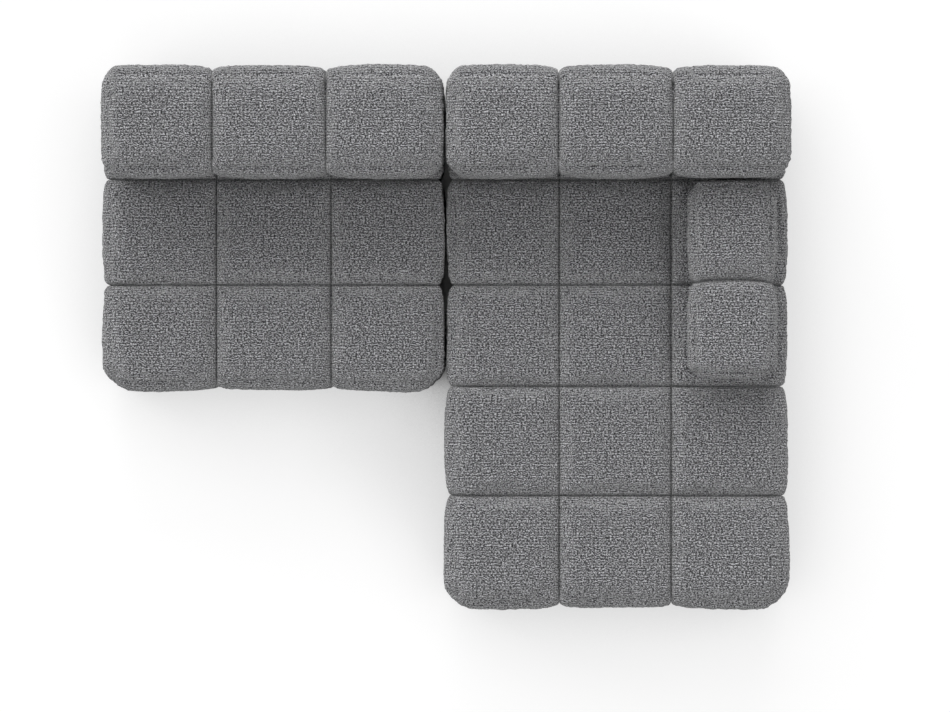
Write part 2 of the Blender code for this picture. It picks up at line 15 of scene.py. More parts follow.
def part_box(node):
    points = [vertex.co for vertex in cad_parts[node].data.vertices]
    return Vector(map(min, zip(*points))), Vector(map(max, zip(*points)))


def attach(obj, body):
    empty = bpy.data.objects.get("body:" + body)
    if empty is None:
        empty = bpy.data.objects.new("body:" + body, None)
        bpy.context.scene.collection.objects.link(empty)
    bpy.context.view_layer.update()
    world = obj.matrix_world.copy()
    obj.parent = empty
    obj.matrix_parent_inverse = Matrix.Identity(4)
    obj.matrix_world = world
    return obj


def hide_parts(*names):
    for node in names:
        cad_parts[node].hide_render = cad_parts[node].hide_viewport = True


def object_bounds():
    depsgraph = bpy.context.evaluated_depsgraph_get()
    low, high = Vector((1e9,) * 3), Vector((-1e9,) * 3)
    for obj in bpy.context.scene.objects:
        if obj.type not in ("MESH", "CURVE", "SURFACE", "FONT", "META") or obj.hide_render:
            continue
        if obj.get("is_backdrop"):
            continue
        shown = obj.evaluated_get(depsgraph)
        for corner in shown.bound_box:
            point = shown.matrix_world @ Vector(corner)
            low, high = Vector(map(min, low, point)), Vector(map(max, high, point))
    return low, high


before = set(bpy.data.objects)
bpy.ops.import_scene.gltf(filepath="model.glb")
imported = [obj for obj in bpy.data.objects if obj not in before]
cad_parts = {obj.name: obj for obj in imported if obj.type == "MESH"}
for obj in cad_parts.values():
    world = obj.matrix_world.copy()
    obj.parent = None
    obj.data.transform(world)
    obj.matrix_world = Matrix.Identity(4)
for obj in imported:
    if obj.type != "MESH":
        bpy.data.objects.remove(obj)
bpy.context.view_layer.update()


# Feet
# Eight short turned feet of black nylon, four under each module. A screw holds each one up into the
# corner of its frame, and the floor has rubbed their soles and lower edges a little lighter.
MODULES = ("chaise", "loveseat")
NYLON_DARK = (0.012, 0.012, 0.013, 1)
NYLON_RUBBED = (0.045, 0.045, 0.047, 1)
NYLON_ROUGHNESS = (0.36, 0.52)
NYLON_GRAIN_PER_METRE = 900
NYLON_RELIEF = 0.0002
RUBBED_HEIGHT = 0.006
GRAIN_DETAIL = 3.0
PATCH_DETAIL = 4.0
PATCHES_PER_GRAIN = 0.03
PATCH_SPAN = (0.3, 0.7)


def put(tree, kind, inputs=(), **settings):
    """A node with its settings. Its inputs are given by name or number, as sockets or plain values."""
    made = tree.nodes.new(kind)
    for name, value in settings.items():
        setattr(made, name, value)
    for name, value in dict(inputs).items():
        if isinstance(value, bpy.types.NodeSocket):
            tree.links.new(value, made.inputs[name])
        else:
            made.inputs[name].default_value = value
    return made


def maths(tree, operation, *values):
    """The result of one Math node on sockets or numbers."""
    return put(tree, "ShaderNodeMath", dict(enumerate(values)), operation=operation).outputs[0]


def ranged(tree, value, low, high, to_low=0.0, to_high=1.0):
    """A value taken evenly from one range to another, and held at its ends."""
    inputs = {0: value, 1: low, 2: high, 3: to_low, 4: to_high}
    return put(tree, "ShaderNodeMapRange", inputs).outputs[0]


def tinted(tree, share, first, second):
    """A colour that goes from the first to the second as the share goes from 0 to 1."""
    return put(tree, "ShaderNodeMix", {0: share, 6: first, 7: second}, data_type="RGBA").outputs[2]


def new_material(name, roughness=0.5, metallic=0.0):
    """A material's tree, its shader, and the piece's own coordinates."""
    made = bpy.data.materials.new(name)
    made.use_nodes = True
    tree = made.node_tree
    shader = tree.nodes["Principled BSDF"]
    shader.inputs["Roughness"].default_value = roughness
    shader.inputs["Metallic"].default_value = metallic
    place = put(tree, "ShaderNodeTexCoord").outputs["Object"]
    return made, tree, shader, place


def coloured(tree, shader, share, first, second):
    """Feeds the shader a base colour that goes from the first to the second."""
    tree.links.new(tinted(tree, share, first, second), shader.inputs["Base Color"])


def bumped(tree, shader, height, depth):
    """Feeds a height, in metres when the depth is 1, to the shader's normal."""
    bump = put(tree, "ShaderNodeBump", {"Height": height, "Distance": depth, "Strength": 1.0})
    tree.links.new(bump.outputs["Normal"], shader.inputs["Normal"])


def new_group(name, inputs, outputs):
    """An empty node group with number or vector inputs and number outputs."""
    group = bpy.data.node_groups.new(name, "ShaderNodeTree")
    for title, (kind, value) in inputs.items():
        socket = group.interface.new_socket(title, in_out="INPUT", socket_type=kind)
        if kind == "NodeSocketFloat":
            socket.default_value = value
    for title in outputs:
        group.interface.new_socket(title, in_out="OUTPUT", socket_type="NodeSocketFloat")
    return group, group.nodes.new("NodeGroupInput").outputs, group.nodes.new("NodeGroupOutput").inputs


# Grain: fine noise for the surface and slow noise for uneven colour, both from 0 to 1
grain_group, given, wanted = new_group(
    "surface_grain",
    {
        "Place": ("NodeSocketVector", None),
        "Fine per metre": ("NodeSocketFloat", NYLON_GRAIN_PER_METRE),
    },
    ["Fine", "Patches"],
)
fine_noise = {"Vector": given["Place"], "Scale": given["Fine per metre"], "Detail": GRAIN_DETAIL}
grain_group.links.new(put(grain_group, "ShaderNodeTexNoise", fine_noise).outputs[0], wanted["Fine"])
patch_scale = maths(grain_group, "MULTIPLY", given["Fine per metre"], PATCHES_PER_GRAIN)
patch_noise = {"Vector": given["Place"], "Scale": patch_scale, "Detail": PATCH_DETAIL}
grain_group.links.new(put(grain_group, "ShaderNodeTexNoise", patch_noise).outputs[0], wanted["Patches"])


def grain(tree, place, per_metre):
    """The grain group's fine and patchy noise on a piece."""
    made = put(tree, "ShaderNodeGroup", node_tree=grain_group)
    tree.links.new(place, made.inputs["Place"])
    made.inputs["Fine per metre"].default_value = per_metre
    return made.outputs["Fine"], made.outputs["Patches"]


def dress(finish, names):
    """Gives CAD nodes their finish."""
    for name in names:
        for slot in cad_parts[name].material_slots:
            slot.material = finish


nylon, tree, shader, place = new_material("black_nylon")
fine, patches = grain(tree, place, NYLON_GRAIN_PER_METRE)
height = put(tree, "ShaderNodeSeparateXYZ", {0: place}).outputs[2]
rubbed = maths(tree, "MULTIPLY", ranged(tree, height, 0.0, RUBBED_HEIGHT, 1.0, 0.0), patches)
coloured(tree, shader, rubbed, NYLON_DARK, NYLON_RUBBED)
tree.links.new(ranged(tree, patches, *PATCH_SPAN, *NYLON_ROUGHNESS), shader.inputs["Roughness"])
bumped(tree, shader, fine, NYLON_RELIEF)
for module in MODULES:
    dress(nylon, [f"{module}_foot_{end}_{side}" for end in ("front", "rear") for side in ("left", "right")])


# Lining
# A thin black non-woven sheet under each frame, stapled along the rails' lower faces. It keeps the dust
# in and hides the webbing, and sags a few millimetres in its middle.
LINING_SAG = 0.005
SHEET_STEPS = 40
LINING_COLOURS = (0.010, 0.010, 0.011, 1), (0.030, 0.030, 0.032, 1)
LINING_ROUGHNESS = 0.9
LINING_DOTS_PER_METRE = 330
LINING_DOT_SPAN = (0.1, 0.45)
LINING_GRAIN_PER_METRE = 1500
LINING_RELIEF = 0.0003

lining, tree, shader, place = new_material("black_nonwoven", LINING_ROUGHNESS)
dots = put(tree, "ShaderNodeTexVoronoi", {"Vector": place, "Scale": LINING_DOTS_PER_METRE}).outputs[0]
fine, patches = grain(tree, place, LINING_GRAIN_PER_METRE)
pressed = ranged(tree, dots, *LINING_DOT_SPAN)
coloured(tree, shader, maths(tree, "MULTIPLY", pressed, patches), *LINING_COLOURS)
bumped(tree, shader, maths(tree, "ADD", pressed, fine), LINING_RELIEF)


def add_piece(name, mesh, finish, body, slot, *replaced):
    """Puts a finished mesh in the scene at the origin, on its body, in place of its CAD nodes."""
    piece = bpy.data.objects.new(name, mesh)
    bpy.context.collection.objects.link(piece)
    mesh.materials.clear()
    mesh.materials.append(finish)
    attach(piece, body)
    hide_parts(*replaced)
    return piece


def grid_mesh(name, points, closed=False):
    """A mesh over a grid of points, rows by columns. A closed grid's rows join up round a loop."""
    rows, columns = points.shape[:2]
    number = np.arange(rows * columns).reshape(rows, columns)
    if closed:
        number = np.concatenate([number, number[:, :1]], axis=1)
    quads = np.stack([number[:-1, :-1], number[1:, :-1], number[1:, 1:], number[:-1, 1:]], axis=-1)
    faces = quads.reshape(-1, 4).tolist()
    if closed:
        faces += [number[0, :-1].tolist(), number[-1, :-1][::-1].tolist()]
    mesh = bpy.data.meshes.new(name)
    mesh.from_pydata(points.reshape(-1, 3).tolist(), [], faces)
    mesh.shade_smooth()
    return mesh


def hanging_sheet(name, low, high):
    """A sheet fixed round its edge: it drops by the sag times one less the square across, both ways."""
    across = np.linspace(-1, 1, SHEET_STEPS)
    x, y = np.meshgrid(across, across, indexing="ij")
    middle, half = (np.array(low) + high) / 2, (np.array(high) - low) / 2
    drop = LINING_SAG * (1 - x**2) * (1 - y**2)
    points = np.stack([middle[0] + half[0] * x, middle[1] + half[1] * y, high[2] - drop], axis=-1)
    return grid_mesh(name, points)


for module in MODULES:
    low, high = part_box(f"{module}_dust_cover")
    mesh = hanging_sheet(f"{module}_lining", low, high)
    piece = add_piece(mesh.name, mesh, lining, module, "lining", f"{module}_dust_cover")
    cloth_wall = piece.modifiers.new("sheet_thickness", "SOLIDIFY")
    cloth_wall.thickness = high[2] - low[2]
    cloth_wall.offset = -1


# Timber frame
# Rails of planed pine on edge, glued and stapled at the corners. The bearers between them carry the
# sockets of the backs and the arm, and the chaise has one more rail across the middle of its length.
PINE_COLOURS = (0.50, 0.33, 0.165, 1), (0.70, 0.52, 0.31, 1)
PINE_ROUGHNESS = 0.62
PINE_ROUGHNESS_SWING = 0.08
PINE_GRAIN_PER_METRE = 1400
PINE_RELIEF = 0.0003
RING_PITCH = 0.007
RING_WANDER = 3.5
RING_DETAIL = 3.0
RING_DETAIL_SCALE = 1.4
RING_SHARE = 0.6
STRETCH_SHARE = 0.08
WAVE_LENGTH = 0.31  # of a Wave node whose scale is 1


def pine(name, stretch):
    """Pine whose rings are drawn out along one axis: coordinates shrink along it before the wave."""
    finish, tree, shader, place = new_material(name)
    drawn = put(tree, "ShaderNodeMapping", {"Vector": place, "Scale": stretch}).outputs[0]
    wave = {
        "Vector": drawn,
        "Scale": WAVE_LENGTH / RING_PITCH,
        "Distortion": RING_WANDER,
        "Detail": RING_DETAIL,
        "Detail Scale": RING_DETAIL_SCALE,
    }
    rings = put(tree, "ShaderNodeTexWave", wave, bands_direction="DIAGONAL").outputs[1]
    fine, patches = grain(tree, drawn, PINE_GRAIN_PER_METRE)
    from_rings = maths(tree, "MULTIPLY", rings, RING_SHARE)
    share = maths(tree, "ADD", from_rings, maths(tree, "MULTIPLY", patches, 1 - RING_SHARE))
    coloured(tree, shader, share, *PINE_COLOURS)
    smoothest, roughest = PINE_ROUGHNESS - PINE_ROUGHNESS_SWING, PINE_ROUGHNESS + PINE_ROUGHNESS_SWING
    tree.links.new(ranged(tree, rings, 0, 1, smoothest, roughest), shader.inputs["Roughness"])
    bumped(tree, shader, maths(tree, "ADD", rings, fine), PINE_RELIEF)
    return finish


pine_along_x = pine("pine_along_x", (STRETCH_SHARE, 1, 1))
pine_along_y = pine("pine_along_y", (1, STRETCH_SHARE, 1))
for module in MODULES:
    dress(pine_along_x, [f"{module}_rail_front", f"{module}_rail_rear", f"{module}_back_bearer"])
    dress(pine_along_y, [f"{module}_rail_left", f"{module}_rail_right"])
dress(pine_along_x, ["chaise_cross_rail"])
dress(pine_along_y, ["chaise_arm_bearer"])


# Webbing
# Four elastic straps to a module, 80 mm wide, pulled tight and stapled over the front and rear rails.
# Rubber threads run along each strap, so it is ribbed lengthwise, with a paler stripe near each edge.
WEBBING_COLOURS = (0.035, 0.031, 0.028, 1), (0.16, 0.145, 0.125, 1)
WEBBING_ROUGHNESS = 0.85
WEBBING_RELIEF = 0.0004
RIB_PITCH = 0.0021
RIB_WANDER = 0.6
RIB_STRETCH = (1, 0.3, 1)
RIB_SHARE = 0.35
STRIPE_SHARE = 0.6
STRIPE_FROM_MIDDLE = 0.026
STRIPE_HALF_WIDTH = 0.003
STRAPS_PER_MODULE = 4
SECTION_STEPS = 24
SECTION_SQUARENESS = 0.25
STRAP_WALL_SHARE = 0.8

webbing, tree, shader, place = new_material("elastic_webbing", WEBBING_ROUGHNESS)
drawn = put(tree, "ShaderNodeMapping", {"Vector": place, "Scale": RIB_STRETCH}).outputs[0]
rib_wave = {"Vector": drawn, "Scale": WAVE_LENGTH / RIB_PITCH, "Distortion": RIB_WANDER}
ribs = put(tree, "ShaderNodeTexWave", rib_wave, bands_direction="X").outputs[1]
across = put(tree, "ShaderNodeSeparateXYZ", {0: put(tree, "ShaderNodeUVMap").outputs[0]}).outputs[0]
from_stripe = maths(tree, "SUBTRACT", maths(tree, "ABSOLUTE", across), STRIPE_FROM_MIDDLE)
stripe = maths(tree, "LESS_THAN", maths(tree, "ABSOLUTE", from_stripe), STRIPE_HALF_WIDTH)
from_ribs = maths(tree, "MULTIPLY", ribs, RIB_SHARE)
share = maths(tree, "ADD", from_ribs, maths(tree, "MULTIPLY", stripe, STRIPE_SHARE))
coloured(tree, shader, share, *WEBBING_COLOURS)
bumped(tree, shader, ribs, WEBBING_RELIEF)


def strap_mesh(name, low, high):
    """A flat strap with round edges: a squared-off oval section carried along its length.

    The section's point at angle a is the half sizes times cos and sin of a, each to a small power.
    """
    angle = np.linspace(0, 2 * pi, SECTION_STEPS, endpoint=False)
    x = np.sign(np.cos(angle)) * np.abs(np.cos(angle)) ** SECTION_SQUARENESS
    z = np.sign(np.sin(angle)) * np.abs(np.sin(angle)) ** SECTION_SQUARENESS
    middle, half = (np.array(low) + high) / 2, (np.array(high) - low) / 2
    along = np.linspace(high[1], low[1], SHEET_STEPS)
    y, x = np.meshgrid(along, middle[0] + half[0] * x, indexing="ij")
    z = np.broadcast_to(middle[2] + half[2] * STRAP_WALL_SHARE * z, x.shape)
    mesh = grid_mesh(name, np.stack([x, y, z], axis=-1), closed=True)
    layer = mesh.uv_layers.new(name="strap")
    corner = np.zeros(len(mesh.loops), int)
    mesh.loops.foreach_get("vertex_index", corner)
    uv = np.stack([(x - middle[0]).ravel()[corner], y.ravel()[corner]], axis=-1)
    layer.data.foreach_set("uv", uv.ravel())
    return mesh


for module in MODULES:
    for number in range(1, STRAPS_PER_MODULE + 1):
        low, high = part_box(f"{module}_strap_{number}")
        mesh = strap_mesh(f"{module}_webbing_{number}", low, high)
        piece = add_piece(mesh.name, mesh, webbing, module, "webbing", f"{module}_strap_{number}")


# Foam cores
# A block of cut polyurethane foam fills each module above the webbing and each bolster above its board.
# Slots through the seat blocks let the prongs and their sockets pass.
FOAM_COLOURS = (0.62, 0.54, 0.33, 1), (0.86, 0.80, 0.60, 1)
FOAM_ROUGHNESS = 0.95
FOAM_CELLS_PER_METRE = 700
FOAM_GRAIN_PER_METRE = 300
FOAM_CELL_SHARE = 0.5
FOAM_RELIEF = 0.0008
FOAM_EDGE = 0.004
MERGE_DISTANCE = 1e-5
FLAT_ANGLE = radians(1)

foam, tree, shader, place = new_material("upholstery_foam", FOAM_ROUGHNESS)
cells = put(tree, "ShaderNodeTexVoronoi", {"Vector": place, "Scale": FOAM_CELLS_PER_METRE}).outputs[0]
_, patches = grain(tree, place, FOAM_GRAIN_PER_METRE)
from_cells = maths(tree, "MULTIPLY", cells, FOAM_CELL_SHARE)
share = maths(tree, "ADD", from_cells, maths(tree, "MULTIPLY", patches, 1 - FOAM_CELL_SHARE))
coloured(tree, shader, share, *FOAM_COLOURS)
bumped(tree, shader, cells, FOAM_RELIEF)


def merged_copy(name, node):
    """A copy of a CAD node's mesh with its loose triangles merged into whole faces."""
    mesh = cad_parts[node].data.copy()
    mesh.name = name
    shape = bmesh.new()
    shape.from_mesh(mesh)
    bmesh.ops.remove_doubles(shape, verts=shape.verts, dist=MERGE_DISTANCE)
    bmesh.ops.dissolve_limit(shape, angle_limit=FLAT_ANGLE, verts=shape.verts, edges=shape.edges)
    shape.to_mesh(mesh)
    shape.free()
    return mesh


FOAM_BODIES = {
    "chaise_seat": "chaise",
    "loveseat_seat": "loveseat",
    "chaise_back": "chaise_back",
    "loveseat_back": "loveseat_back",
    "arm": "arm",
}
for prefix, body in FOAM_BODIES.items():
    mesh = merged_copy(f"{prefix}_foam_core", f"{prefix}_foam")
    piece = add_piece(mesh.name, mesh, foam, body, "foam", f"{prefix}_foam")
    soft_edge = piece.modifiers.new("soft_edge", "BEVEL")
    soft_edge.width = FOAM_EDGE
    soft_edge.segments = 2
    soft_edge.limit_method = "ANGLE"


# Steel
# The sockets are welded tubes of rectangular section, screwed to the bearers. The prongs are bent strips
# in the bolsters' boards. Tongues and jaws under the rails join the modules. All are zinc plated.
ZINC_COLOURS = (0.30, 0.30, 0.295, 1), (0.52, 0.52, 0.505, 1)
ZINC_ROUGHNESS = (0.28, 0.46)
ZINC_SPANGLES_PER_METRE = 160
ZINC_SPANGLE_SHARE = 0.6
ZINC_GRAIN_PER_METRE = 2500
ZINC_RELIEF = 0.0001
BOLSTER_SIDES = {
    "chaise_back": ("left", "right"),
    "loveseat_back": ("left", "right"),
    "arm": ("front", "rear"),
}

zinc, tree, shader, place = new_material("zinc_plated_steel", metallic=1.0)
fine, patches = grain(tree, place, ZINC_GRAIN_PER_METRE)
spangles = put(tree, "ShaderNodeTexVoronoi", {"Vector": place, "Scale": ZINC_SPANGLES_PER_METRE}).outputs[0]
share = maths(tree, "MULTIPLY", maths(tree, "ADD", spangles, patches), ZINC_SPANGLE_SHARE)
coloured(tree, shader, share, *ZINC_COLOURS)
tree.links.new(ranged(tree, patches, *PATCH_SPAN, *ZINC_ROUGHNESS), shader.inputs["Roughness"])
bumped(tree, shader, fine, ZINC_RELIEF)
for bolster, sides in BOLSTER_SIDES.items():
    dress(zinc, [f"{bolster}_{part}_{side}" for part in ("socket", "prong") for side in sides])
dress(zinc, [f"{part}_{end}" for part in ("chaise_jaw", "loveseat_tongue") for end in ("front", "rear")])


# Boards
# A birch plywood board, 18 mm thick, closes the base of each bolster. The cover is stapled around it,
# and the short legs of the prongs lie in pockets in it.
BIRCH_COLOURS = (0.50, 0.35, 0.20, 1), (0.68, 0.54, 0.36, 1)
BIRCH_ROUGHNESS = 0.6
BIRCH_GRAIN_PER_METRE = 900
BIRCH_STRETCH = (0.1, 1, 0.4)
BIRCH_RELIEF = 0.0002
FIGURE_WANDER = 5.0
FIGURE_SHARE = 0.45
PLY_SHARE = 0.45
PLY_PITCH = 0.0028

birch, tree, shader, place = new_material("birch_plywood", BIRCH_ROUGHNESS)
drawn = put(tree, "ShaderNodeMapping", {"Vector": place, "Scale": BIRCH_STRETCH}).outputs[0]
face_wave = {
    "Vector": drawn,
    "Scale": WAVE_LENGTH / RING_PITCH,
    "Distortion": FIGURE_WANDER,
    "Detail": RING_DETAIL,
}
figure = put(tree, "ShaderNodeTexWave", face_wave, bands_direction="Y").outputs[1]
ply_wave = {"Vector": place, "Scale": WAVE_LENGTH / PLY_PITCH}
plies = put(tree, "ShaderNodeTexWave", ply_wave, bands_direction="Z").outputs[1]
fine, _ = grain(tree, drawn, BIRCH_GRAIN_PER_METRE)
from_figure = maths(tree, "MULTIPLY", figure, FIGURE_SHARE)
share = maths(tree, "ADD", from_figure, maths(tree, "MULTIPLY", plies, PLY_SHARE))
coloured(tree, shader, share, *BIRCH_COLOURS)
bumped(tree, shader, maths(tree, "ADD", figure, fine), BIRCH_RELIEF)
dress(birch, [f"{bolster}_board" for bolster in BOLSTER_SIDES])


# Seat covers
# One cover of thick grey woven cloth with wadding behind it wraps each module, down to the frame's
# underside. It is sewn into square blocks, and the seams are pulled down to the foam, so each block puffs.
# Bound slits in it take the prongs.
CLOTH_DARK = (0.014, 0.014, 0.015, 1)
CLOTH_MID = (0.215, 0.215, 0.2245, 1)
CLOTH_LIGHT = (0.700, 0.700, 0.729, 1)
CLOTH_ROUGHNESS = 0.92
CLOTH_SHEEN = 0.75
SHEEN_ROUGHNESS = 0.3
CLOTH_RELIEF = 0.008
SPECK_RELIEF_SHARE = 0.5
WEFT_PITCH = 0.0090
RUNS_PER_METRE = 250
ROW_WANDER = 0.0090
BENDS_PER_METRE = 50.0
ROW_ROUNDNESS = 2.0
NOISE_BETWEEN_ROWS = 7.3
STANDING_SPAN = (0.35, 0.65)
LEAST_STANDING = 0.2
SPECKS_PER_METRE = (180, 300, 1)
SPECK_ROUGHNESS = 0.6
SPECK_CONTRAST = 4.5
SHADE_BASE = 0.25
# How far the weave's height paints shade into the hollows between rows and under dipped floats
PAINTED_HOLLOW_SHADE = 0.5
SHADE_MIDDLE = 0.5


def hump(tree, along, cell, power):
    """1 in the middle of a cell and 0 at both its ends: one less a power of the distance."""
    doubled = maths(tree, "MULTIPLY", maths(tree, "SUBTRACT", along, cell), 2)
    distance = maths(tree, "ABSOLUTE", maths(tree, "SUBTRACT", doubled, 1))
    return maths(tree, "SUBTRACT", 1, maths(tree, "POWER", distance, power))


def noise(tree, place, scale, **more):
    """The outputs of a Noise node of little detail."""
    inputs = {"Vector": place, "Scale": scale, "Detail": 1.0, **more}
    return put(tree, "ShaderNodeTexNoise", inputs).outputs


# Weave: round weft rows, bent by slow noise so that they wind. Noise along each row breaks it into short
# floats that stand up and dip. Speck is the light and dark of the mixed fibres, finer than the rows.
weave_group, given, wanted = new_group(
    "woven_rows",
    {
        "Place": ("NodeSocketVector", None),
        "Row pitch": ("NodeSocketFloat", WEFT_PITCH),
        "Runs per metre": ("NodeSocketFloat", RUNS_PER_METRE),
        "Wander": ("NodeSocketFloat", ROW_WANDER),
    },
    ["Height", "Speck"],
)
bend = {0: noise(weave_group, given["Place"], BENDS_PER_METRE)[1], 1: (0.5, 0.5, 0.5)}
centred = put(weave_group, "ShaderNodeVectorMath", bend, operation="SUBTRACT").outputs[0]
scaled = {0: centred, "Scale": given["Wander"]}
moved = put(weave_group, "ShaderNodeVectorMath", scaled, operation="SCALE").outputs["Vector"]
bent = put(weave_group, "ShaderNodeVectorMath", {0: given["Place"], 1: moved}, operation="ADD").outputs[0]
bent_x, bent_y, _ = put(weave_group, "ShaderNodeSeparateXYZ", {0: bent}).outputs
up = maths(weave_group, "DIVIDE", bent_y, given["Row pitch"])
row = maths(weave_group, "FLOOR", up)
runs = maths(weave_group, "MULTIPLY", bent_x, given["Runs per metre"])
row_noise = maths(weave_group, "MULTIPLY", row, NOISE_BETWEEN_ROWS)
run_place = put(weave_group, "ShaderNodeCombineXYZ", {0: runs, 1: row_noise}).outputs[0]
standing = ranged(weave_group, noise(weave_group, run_place, 1.0)[0], *STANDING_SPAN, LEAST_STANDING, 1.0)
ridge = hump(weave_group, up, row, ROW_ROUNDNESS)
weave_group.links.new(maths(weave_group, "MULTIPLY", ridge, standing), wanted["Height"])
speck_scale = {0: given["Place"], 1: SPECKS_PER_METRE}
speck_place = put(weave_group, "ShaderNodeVectorMath", speck_scale, operation="MULTIPLY").outputs[0]
specks = noise(weave_group, speck_place, 1.0, Roughness=SPECK_ROUGHNESS)[0]
weave_group.links.new(specks, wanted["Speck"])

cloth, tree, shader, place = new_material("grey_woven_cloth", CLOTH_ROUGHNESS)
shader.inputs["Sheen Weight"].default_value = CLOTH_SHEEN
shader.inputs["Sheen Roughness"].default_value = SHEEN_ROUGHNESS
weave = put(tree, "ShaderNodeGroup", node_tree=weave_group)
tree.links.new(put(tree, "ShaderNodeUVMap", uv_map="cloth").outputs[0], weave.inputs["Place"])
weave.inputs["Row pitch"].default_value = WEFT_PITCH
weave.inputs["Runs per metre"].default_value = RUNS_PER_METRE
weave.inputs["Wander"].default_value = ROW_WANDER
speck = maths(tree, "SUBTRACT", weave.outputs["Speck"], 0.5)
shade = maths(tree, "MULTIPLY_ADD", speck, SPECK_CONTRAST, SHADE_BASE)
# The weave's height lightens the standing floats and darkens the hollows between rows: painted shade. The
# speck is the fibres' own light and dark.
share = maths(tree, "MULTIPLY_ADD", weave.outputs["Height"], PAINTED_HOLLOW_SHADE, shade)
darker = tinted(tree, ranged(tree, share, 0.0, SHADE_MIDDLE), CLOTH_DARK, CLOTH_MID)
coloured(tree, shader, ranged(tree, share, SHADE_MIDDLE, 1.0), darker, CLOTH_LIGHT)
relief = maths(tree, "MULTIPLY_ADD", speck, SPECK_RELIEF_SHARE, weave.outputs["Height"])
bumped(tree, shader, relief, CLOTH_RELIEF)

# The cover's lattice of points: its spacing, and how its lines gather at the seams
LATTICE = 0.0100
ROOM_SHARE = 0.25
SEAM_DRAW = 0.45
SEAM_SIDE_LINE = 0.0026

# The tufting: how far a block's cloth falls from its middle to its seams, on top and on the sides
SHOULDER_WIDTH = 0.028
TUFT_DEPTH = 0.026
SIDE_TUFT_DEPTH = 0.009
SEAM_FOLD = 0.012
SIDE_FOLD = 0.004
CROSSING_PINCH = 0.003
TOP_CROWN = 0.015
SIDE_CROWN = 0.012
WALL_FLATNESS = 8

# The box that is rounded and filled, and the room that the puffed cloth keeps to
SEAT_REACH = 0.086
SEAT_DROP = 0.050
TOP_ROOM = 0.002
EASING = 0.006
PUFF_CAP = 0.024
SEAM_CAP = 0.001
WALL_FOOT = 0.060
CORE_CLEARANCE = 0.0003

# The simulated cloth
CLOTH_FULLNESS = 0.015
CLOTH_PRESSURE = 4.0
CLOTH_QUALITY = 4
CLOTH_POINT_MASS = 0.3
CLOTH_STIFFNESS = 15
CLOTH_BENDING = 0.5
PUFF_FRAMES = 20

# Lumps in the cloth, calm beside the seams, and the slits for the prongs
FINE_LUMP = 0.0034
FINE_LUMP_SIZE = 0.0100
CALM_WIDTH = 0.012
SLOW_LUMP = 0.0022
SLOW_LUMP_SIZE = 0.11
LUMP_TABLE = 64
SLIT_MARGIN = 0.002
SLIT_DEPTH = 0.045
BOW_WIDTH = 0.05
TOUCHING = 1e-6
HAIR = 1e-9


def block_lines(edges, openings):
    """Lines across a row of blocks: spread evenly, then drawn part of the way to a cosine's spacing.

    Fixed lines stand at each end, on and beside each seam, and at the openings' edges. They take the
    place of lines too close to them.
    """
    lines = [edges[:1]]
    for low, high in zip(edges[:-1], edges[1:]):
        even = np.linspace(0, 1, round((high - low) / LATTICE) + 1)[1:]
        drawn = (1 - np.cos(pi * even)) / 2
        lines.append(low + (high - low) * ((1 - SEAM_DRAW) * even + SEAM_DRAW * drawn))
    lines = np.concatenate(lines)
    seams = edges[1:-1]
    at_seams = [seams - SEAM_SIDE_LINE, seams, seams + SEAM_SIDE_LINE]
    fixed = np.concatenate([*at_seams, openings, edges[[0, -1]]])
    lines = lines[np.abs(lines[:, None] - fixed[None, :]).min(axis=1) > LATTICE * ROOM_SHARE]
    return np.unique(np.concatenate([lines, fixed]))


def lattice(count, with_base):
    """The surface of a box over three sets of lines: quads of point numbers, and each quad's side."""
    number = np.arange(np.prod(count)).reshape(count)
    sides = {
        "top": number[:, :, -1],
        "front": number[:, 0, :],
        "rear": number[:, -1, :].T,
        "left": number[0, :, :].T,
        "right": number[-1, :, :],
    }
    if with_base:
        sides["base"] = number[:, :, 0].T
    quads, labels = [], []
    for side, cells in sides.items():
        ring = [cells[:-1, :-1], cells[1:, :-1], cells[1:, 1:], cells[:-1, 1:]]
        quads.append(np.stack(ring, axis=-1).reshape(-1, 4))
        labels += [side] * len(quads[-1])
    return np.concatenate(quads), np.array(labels)


def place_in_block(values, edges):
    """Where a value lies across its block, from -1 at one edge to 1 at the other."""
    block = np.clip(np.searchsorted(edges, values, side="right") - 1, 0, len(edges) - 2)
    low, high = edges[block], edges[block + 1]
    return (2 * values - low - high) / (high - low)


def from_seam(values, edges):
    """The distance to the nearest seam between two blocks, or the shoulder's width where that is less."""
    return np.abs(values[:, None] - edges[None, 1:-1]).min(axis=1, initial=SHOULDER_WIDTH)


def near_seam(values, edges):
    """1 on a seam between two blocks, falling over a quarter circle to 0 at the shoulder's width."""
    across = from_seam(values, edges) / SHOULDER_WIDTH
    return 1 - np.sqrt(1 - (1 - across) ** 2)


